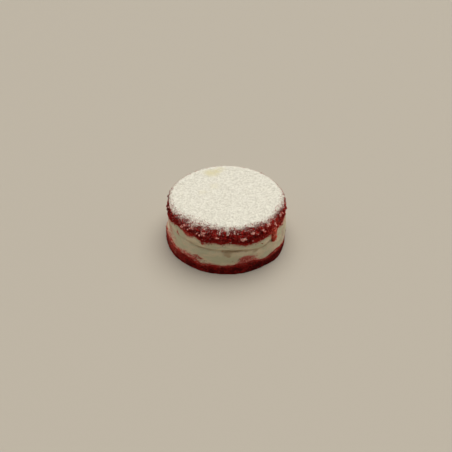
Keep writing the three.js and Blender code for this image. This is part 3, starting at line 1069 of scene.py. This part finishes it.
big_shapes = lump_shapes(8, divisions=3, offset=0.1, seed=40, pitted=0.6)
coarse_shapes = lump_shapes(10, divisions=2, offset=0.2, seed=20, pitted=0.5, keep=0.7)
fine_shapes = lump_shapes(10, divisions=1, offset=0.35, seed=60)
for name, shapes in (("big", big_shapes), ("coarse", coarse_shapes), ("fine", fine_shapes)):
    print(len(shapes), name, "shapes of about", len(shapes[0][1]), "triangles")

# %% [markdown]
# ## Many lumps in one mesh
#
# A particle system could strew the crumbs, but each of them needs a tone and a coat of sugar of
# its own, and copying whole objects would be slow. So every crumb is a row of numbers, and the
# points of them all are joined into one mesh in arrays. The random numbers start from a fixed
# seed, so that the cake comes out the same each time.

# %% Helpers for crumbs and grains
LONG_SIDE = 1.15
MIDDLE_SIDE = (0.7, 1.05)
SHORT_SIDE = (0.55, 0.95)

rng = random.Random(7)


def joined(name, lumps):
    """One mesh of many lumps. A lump is its shape, middle, turn, three sizes in mm, tone and dust."""
    points, faces, tones, dusts, start = [], [], [], [], 0
    for (shape_points, shape_faces), middle, turn, sizes, tone, dust in lumps:
        turned = (shape_points * sizes * MM) @ np.array(turn.to_matrix()).T + np.array(middle)
        points.append(turned)
        faces.append(shape_faces + start)
        tones.append(np.full(len(turned), tone))
        dusts.append(np.full(len(turned), dust))
        start += len(turned)
    mesh = bpy.data.meshes.new(name)
    mesh.from_pydata(np.concatenate(points).tolist(), [], np.concatenate(faces).tolist())
    piece = bpy.data.objects.new(name, mesh)
    bpy.context.scene.collection.objects.link(piece)
    paint_attribute(piece, "tone", np.concatenate(tones))
    paint_attribute(piece, "dust", np.concatenate(dusts))
    return piece


def crumbs(name, lumps):
    """A finished piece of joined crumbs."""
    piece = joined(name, lumps)
    finished(piece, crumb_finish, None)
    return piece


def lump_at(shapes, place, normal, size, stand, tone, dust):
    """A lump lying on a surface, turned at random, its middle raised by stand times its size."""
    turn = Euler([rng.uniform(0, 2 * math.pi) for _ in range(3)])
    sizes = size * np.array([LONG_SIDE, rng.uniform(*MIDDLE_SIDE), rng.uniform(*SHORT_SIDE)])
    return rng.choice(shapes), place + normal * size * stand * MM, turn, sizes, tone, dust


print("helpers for crumbs and grains ready")

# %% [markdown]
# ## Crumbs on the crust
#
# Crumbs come in clusters with dark gaps between, so a noise decides where they are dense. They sit
# on the crust's side and on the rim, and come through the sugar where it is worn. The smeared foot
# has none. The dense places and the right of the front, which gets more light in the photograph,
# have the brighter crumbs, and a few crumbs anywhere are covered in sugar.

# %% Crumbs on the crust and its rim
CLUSTER = 2.6
CLUSTER_MIDDLE = 0.5
CLUSTER_SWING = 1.1
PALE_SHARE = 0.055
LIT_SIDE = (58, 30)
PAINTED_LIGHT_GAIN = 0.33
WORN_FRONT = (-5, 58)
DARKEST = 0.1
TONE_SPREAD = 0.75
TONE_BY_CLUSTER = 0.25
FEWER_LARGE = 1.5
SPRINKLED = (0.5, 1.2)
COATED = (0.5, 1.0)
RIM_WIDTH = 5
SMOOTH_RIM = 1.1
CLEAR_OF_SEAM = 0.3
MOST_SMEARED = 0.45
BARE_ENOUGH = 0.3
BELOW_SUGAR = 1.5
FIRST_CRUMBS = 0.1
NOT_A_WALL = 0.2


def seats_on(piece, wanted):
    """The places and normals of a piece's vertices where wanted is true, for scattering."""
    chosen = np.flatnonzero(wanted)
    return of_vertices(piece, "co")[chosen], of_vertices(piece, "normal")[chosen]


def crumbs_over(seats, count, sizes, shapes, stand, chance):
    """Crumbs in clusters over the seats, more small ones than large ones, with a given chance."""
    lumps = []
    while len(lumps) < count:
        number = rng.randrange(len(seats[0]))
        place, normal = Vector(seats[0][number]), Vector(seats[1][number])
        radius, degrees, z = (float(value[0]) for value in round_the_cake(np.array([place])))
        density = noise.noise(place / (CLUSTER * MM))
        if rng.random() > (CLUSTER_MIDDLE + CLUSTER_SWING * density) * chance(radius, degrees):
            continue
        dust = dusting(radius, degrees, z) * rng.uniform(*SPRINKLED)
        if rng.random() < PALE_SHARE:
            dust = rng.uniform(*COATED)
        size = sizes[0] + (sizes[1] - sizes[0]) * rng.random() ** FEWER_LARGE
        tone = DARKEST + TONE_SPREAD * rng.random() + TONE_BY_CLUSTER * density
        tone += float(foot_glow(degrees, z))
        # Painted light: crumbs at the right of the front get a brighter tone, as more light falls
        # there.
        tone += PAINTED_LIGHT_GAIN * float(near(degrees, *LIT_SIDE))
        lumps.append(lump_at(shapes, place, normal, size, rng.uniform(*stand), tone, dust))
    return lumps


def everywhere(radius, degrees):
    return 1


def through_sugar(radius, degrees):
    """The chance of a crumb that comes through the sugar, at its worn edge."""
    return float(bare(radius, degrees))


radius, degrees, z = places_of(crust)
faces_out = (facing_up(crust) > UNDERSIDE) & (radius > SKIN_START - RIM_WIDTH)
below_rim = z < RIM_TOP - SMOOTH_RIM * (1 - near(degrees, *WORN_FRONT))
above_seam = z > crust_foot(degrees) + CLEAR_OF_SEAM
not_smeared = smeared_foot(degrees, z) < MOST_SMEARED
beyond_sugar = (bare(radius, degrees) > BARE_ENOUGH) | (z < RIM_TOP - BELOW_SUGAR)
on_crust = seats_on(crust, faces_out & below_rim & above_seam & not_smeared & beyond_sugar)
radius, degrees, _ = places_of(sugar)
worn_sugar = bare(radius, degrees) > FIRST_CRUMBS
on_sugar = seats_on(sugar, worn_sugar & (facing_up(sugar) > NOT_A_WALL))
print(len(on_crust[0]), "seats on the crust,", len(on_sugar[0]), "on the sugar")

# Each row strews crumbs: the seats, their number, the sizes in mm, the shapes, how far they stand
# out in shares of their size, and their chance.
STREWN = {
    "big_crumbs": [(on_crust, 170, (0.8, 1.15), big_shapes, (-0.4, 0.1), everywhere)],
    "coarse_crumbs": [
        (on_crust, 2700, (0.4, 0.75), coarse_shapes, (-0.1, 0.4), everywhere),
        (on_sugar, 280, (0.35, 0.65), coarse_shapes, (-0.3, 0.1), through_sugar),
    ],
    "fine_crumbs": [
        (on_crust, 7200, (0.2, 0.48), fine_shapes, (-0.1, 0.4), everywhere),
        (on_sugar, 2300, (0.16, 0.42), fine_shapes, (-0.3, 0.3), through_sugar),
    ],
}
clinging = {}
for name, rows in STREWN.items():
    lumps = []
    for row in rows:
        lumps += crumbs_over(*row)
    clinging[name] = crumbs(name, lumps)

# %% [markdown]
# ## Finding the side of the cake
#
# A crumb that fell on the side may lie on any layer. Snapping by hand would find it. Here a level
# ray flies in from outside, and a search tree over the faces says where it lands.

# %% Helpers for the side
OUTSIDE = 80


def skin_tree(*pieces):
    """A search tree over the faces of several pieces, for rays."""
    points, faces = [], []
    for piece in pieces:
        start = len(points)
        points += [v.co.copy() for v in piece.data.vertices]
        faces += [[start + v for v in p.vertices] for p in piece.data.polygons]
    return BVHTree.FromPolygons(points, faces)


def on_the_side(tree, degrees, z):
    """Where a level ray from outside meets the cake's side, and the normal there."""
    start = outward(degrees) * OUTSIDE * MM + Vector((0, 0, z * MM))
    return tree.ray_cast(start, -outward(degrees))[:2]


side_tree = skin_tree(base, cream, crust)
at_front = on_the_side(side_tree, 0, FOLD_HEIGHT)[0]
print("the side at the front is", round(at_front.xy.length / MM, 1), "mm from the middle")

# %% [markdown]
# ## Fallen crumbs
#
# Crumbs also hang over the cream in a tongue, lie in patches below the crust, stick in the smear
# above the lower sponge, and lie here and there on the cream and on the ledge. The lower sponge has
# shed a few on its own side. Each row of the table is such a patch: how many crumbs, its middle and
# width in degrees, its heights, the sizes in mm, the tones, and the share that carries sugar.

# %% Fallen crumbs
ALL_ROUND = 360
WIDTH_IN_SPREADS = 4
TONGUE_FOOT = 20.2
TONGUE_HEAD = 32.0
TONGUE_ROUNDING = 0.15
COARSE_FROM = 0.45
BRIGHT = (0.7, 1.25)
GLOWING = (1.3, 2.0)
DULL = (0.3, 0.9)
DARK = (0.0, 0.6)
THIN_SUGAR = (0.3, 0.75)
HALF_SUNK = (-0.3, 0.3)
SPECK_WIDTH = 0.1


def heights(low, high, seam=lambda degrees: 0):
    """Heights from low to high in mm above a seam or above the foot, as a function of degrees."""
    return lambda degrees: (seam(degrees) + low, seam(degrees) + high)


def tongue_heights(degrees):
    """The tongue's lowest and highest point in mm at an angle: its lower end is round."""
    return TONGUE_FOOT + TONGUE_ROUNDING * (degrees - TONGUE_AT) ** 2, TONGUE_HEAD


FALLEN = [
    (110, TONGUE_AT, 7, tongue_heights, (0.5, 0.95), GLOWING, 0.5),
    (260, TONGUE_AT, 8, tongue_heights, (0.25, 0.5), GLOWING, 0.5),
    (14, -38.5, 6, heights(28.0, 32.5), (0.25, 0.6), BRIGHT, 0.4),
    (26, -42, 12, heights(-1.5, 0.5, crust_foot), (0.25, 0.6), BRIGHT, 0.4),
    (24, -21.5, 4, heights(26.4, 29.0), (0.25, 0.55), BRIGHT, 0.2),
    (50, -27, 20, heights(0.6, 4.5, base_top), (0.2, 0.45), DULL, 0),
    (60, 18, 18, heights(0.3, 4.5, base_top), (0.2, 0.5), DULL, 0),
    (140, 0, ALL_ROUND, heights(-0.8, 0.8, base_top), (0.2, 0.45), BRIGHT, 0),
    (260, 0, ALL_ROUND, heights(-1.8, 0.2, crust_foot), (0.2, 0.5), DULL, 0),
    (70, 0, ALL_ROUND, heights(11, 27), (0.14, 0.26), DULL, 0),
    (420, 0, ALL_ROUND, heights(0.6, 6.5), (0.25, 0.6), DARK, 0),
]
# Single crumbs that stand out on the cream, each by its degrees, height and size in mm.
SPECKS = [
    (-50.9, 26.6, 0.4), (-49.9, 24.9, 0.5), (-49.3, 24.0, 0.35), (34.7, 22.9, 0.55),
    (33.6, 23.4, 0.4), (-3.2, 21.9, 0.4), (23.5, 12.9, 0.5), (-26.5, 14.2, 0.5),
    (-23.4, 11.6, 0.55), (-38.8, 23.4, 0.4),
]


def fallen(count, at, width, heights_at, sizes, tones, sugared):
    """The crumbs of one patch of the side."""
    lumps = []
    while len(lumps) < count:
        all_round = width == ALL_ROUND
        degrees = rng.uniform(-180, 180) if all_round else rng.gauss(at, width / WIDTH_IN_SPREADS)
        z = rng.uniform(*heights_at(degrees))
        place, normal = on_the_side(side_tree, degrees, z)
        if place is None:
            continue
        size = rng.uniform(*sizes)
        dust = rng.uniform(*THIN_SUGAR) if rng.random() < sugared else 0.0
        shapes = coarse_shapes if size > COARSE_FROM else fine_shapes
        stand = rng.uniform(*HALF_SUNK)
        lumps.append(lump_at(shapes, place, normal, size, stand, rng.uniform(*tones), dust))
    return lumps


scattered = []
for row in FALLEN:
    scattered += fallen(*row)
for at, height, size in SPECKS:
    scattered += fallen(1, at, SPECK_WIDTH, heights(height, height), (size, size), BRIGHT, 0)
crumbs("fallen_crumbs", scattered)

# %% [markdown]
# ## Sugar grains
#
# The last of the powder lies in tiny clumps, on top and on the crumbs of the rim, and a few larger
# clumps have dropped on the crust's side. They are small lumps, made and joined as the crumbs were.
# Those on top are found by rays from above. Those on the side are pink from the crumbs that they
# cling to, and there are more of them where more sugar has come down.

# %% Sugar grains
GRAINS_ON_TOP = 3000
TOP_RADIUS = 49.4
ABOVE = 60
TRIES_ON_SIDE = 9000
LOWEST_GRAIN = 28
CRUST_RADIUS = 49
STRAY_GRAINS = 0.012
DUSTED_GRAINS = 0.4
CLUMP_RADIUS = 50
PINK_DEPTH = 1.2
SIZES_ON_TOP = (0.08, 0.18)
SIZES_ON_SIDE = (0.12, 0.3)
SIZES_IN_CLUMP = (0.2, 0.6)
STAND_ON_TOP = 0.3
STAND_ON_SIDE = 0.2
# A clump is its degrees and height, its half width and half height in mm, and its grains.
CLUMPS = [
    (15.4, 32.4, 2.4, 1.0, 130), (24.8, 35.5, 1.7, 0.8, 42), (-21.6, 35.2, 1.6, 1.2, 50),
    (36.0, 34.6, 1.0, 0.7, 16), (52.0, 34.0, 1.5, 1.3, 22), (-8.3, 34.8, 1.2, 0.8, 12),
    (3.8, 30.4, 0.9, 0.6, 9), (-44.0, 35.2, 1.8, 1.2, 26), (63.0, 35.5, 1.6, 1.2, 30),
    (44.0, 36.4, 2.6, 0.9, 40), (-34.5, 36.6, 1.4, 0.8, 20), (1.4, 37.0, 1.3, 0.9, 34),
    (-6.0, 36.8, 0.6, 1.0, 14), (8.0, 36.6, 0.6, 0.9, 10), (118.0, 33.0, 2.2, 1.0, 30),
    (205.0, 34.0, 1.8, 1.2, 24),
]

top_tree = skin_tree(sugar, crust)
crumb_tree = skin_tree(crust, clinging["coarse_crumbs"], clinging["big_crumbs"])
grain_shapes = lump_shapes(6, divisions=1, offset=0.25, seed=90)


def grain_at(place, normal, size, stand):
    """A grain of sugar in a list, or an empty list where a ray has found no place for it."""
    if place is None:
        return []
    return [lump_at(grain_shapes, place, normal, size, stand, tone=1.0, dust=1.0)]


grains = []
for _ in range(GRAINS_ON_TOP):
    away = TOP_RADIUS * math.sqrt(rng.random())
    start = outward(rng.uniform(-180, 180)) * away * MM + Vector((0, 0, ABOVE * MM))
    place, normal = top_tree.ray_cast(start, Vector((0, 0, -1)))[:2]
    if place is not None:
        grains += grain_at(place, normal, rng.uniform(*SIZES_ON_TOP), STAND_ON_TOP)
for _ in range(TRIES_ON_SIDE):
    degrees, z = rng.uniform(-180, 180), rng.uniform(LOWEST_GRAIN, RIM_TOP)
    if rng.random() < STRAY_GRAINS + DUSTED_GRAINS * dusting(CRUST_RADIUS, degrees, z):
        size = rng.uniform(*SIZES_ON_SIDE)
        grains += grain_at(*on_the_side(crumb_tree, degrees, z), size, STAND_ON_SIDE)
for at, height, half_width, half_height, count in CLUMPS:
    for _ in range(count):
        degrees = at + math.degrees(rng.gauss(0, half_width / 2) / CLUMP_RADIUS)
        z = height + rng.gauss(0, half_height / 2)
        size = rng.uniform(*SIZES_IN_CLUMP)
        grains += grain_at(*on_the_side(crumb_tree, degrees, z), size, STAND_ON_SIDE)
sprinkled = joined("sugar_grains", grains)
below_top = RIM_TOP + DUSTED_ABOVE - places_of(sprinkled)[2]
paint_attribute(sprinkled, "pink", smooth_step(below_top, 0, PINK_DEPTH))
finished(sprinkled, sugar_finish, None)
